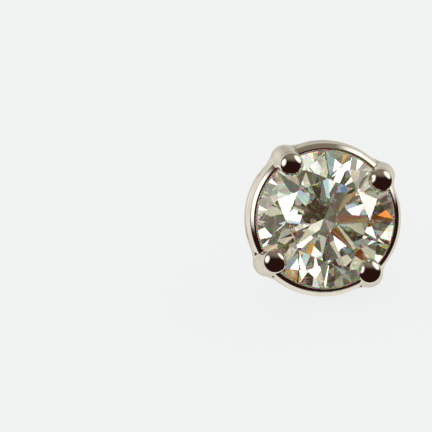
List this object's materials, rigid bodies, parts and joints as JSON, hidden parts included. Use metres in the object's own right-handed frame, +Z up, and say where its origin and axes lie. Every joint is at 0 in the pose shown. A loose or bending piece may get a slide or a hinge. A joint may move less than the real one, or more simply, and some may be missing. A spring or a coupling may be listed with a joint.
{
  "type": "diamond stud earring",
  "caption": "Stud earring: a round brilliant-cut diamond held by claws on a white-gold collar, with a straight ear post behind, lying on its side.",
  "frame": {"origin": "centre of the bottom of the bounding box, on the surface that the stud lies on", "axes": "the stone faces -Y and leans back 15 degrees, the post runs back along +Y, +Z is up, and the stud is rolled 8 degrees clockwise, as seen from the front"},
  "size_m": [0.0074, 0.0154, 0.0075],
  "materials": {
    "diamond": "faceted and polished, near colourless with a faint warm tint",
    "white_gold": "mirror-polished white gold"
  },
  "bodies": {
    "root": {"diamond": "diamond", "setting": "white_gold", "ear_post": "white_gold"}
  },
  "joints": []
}
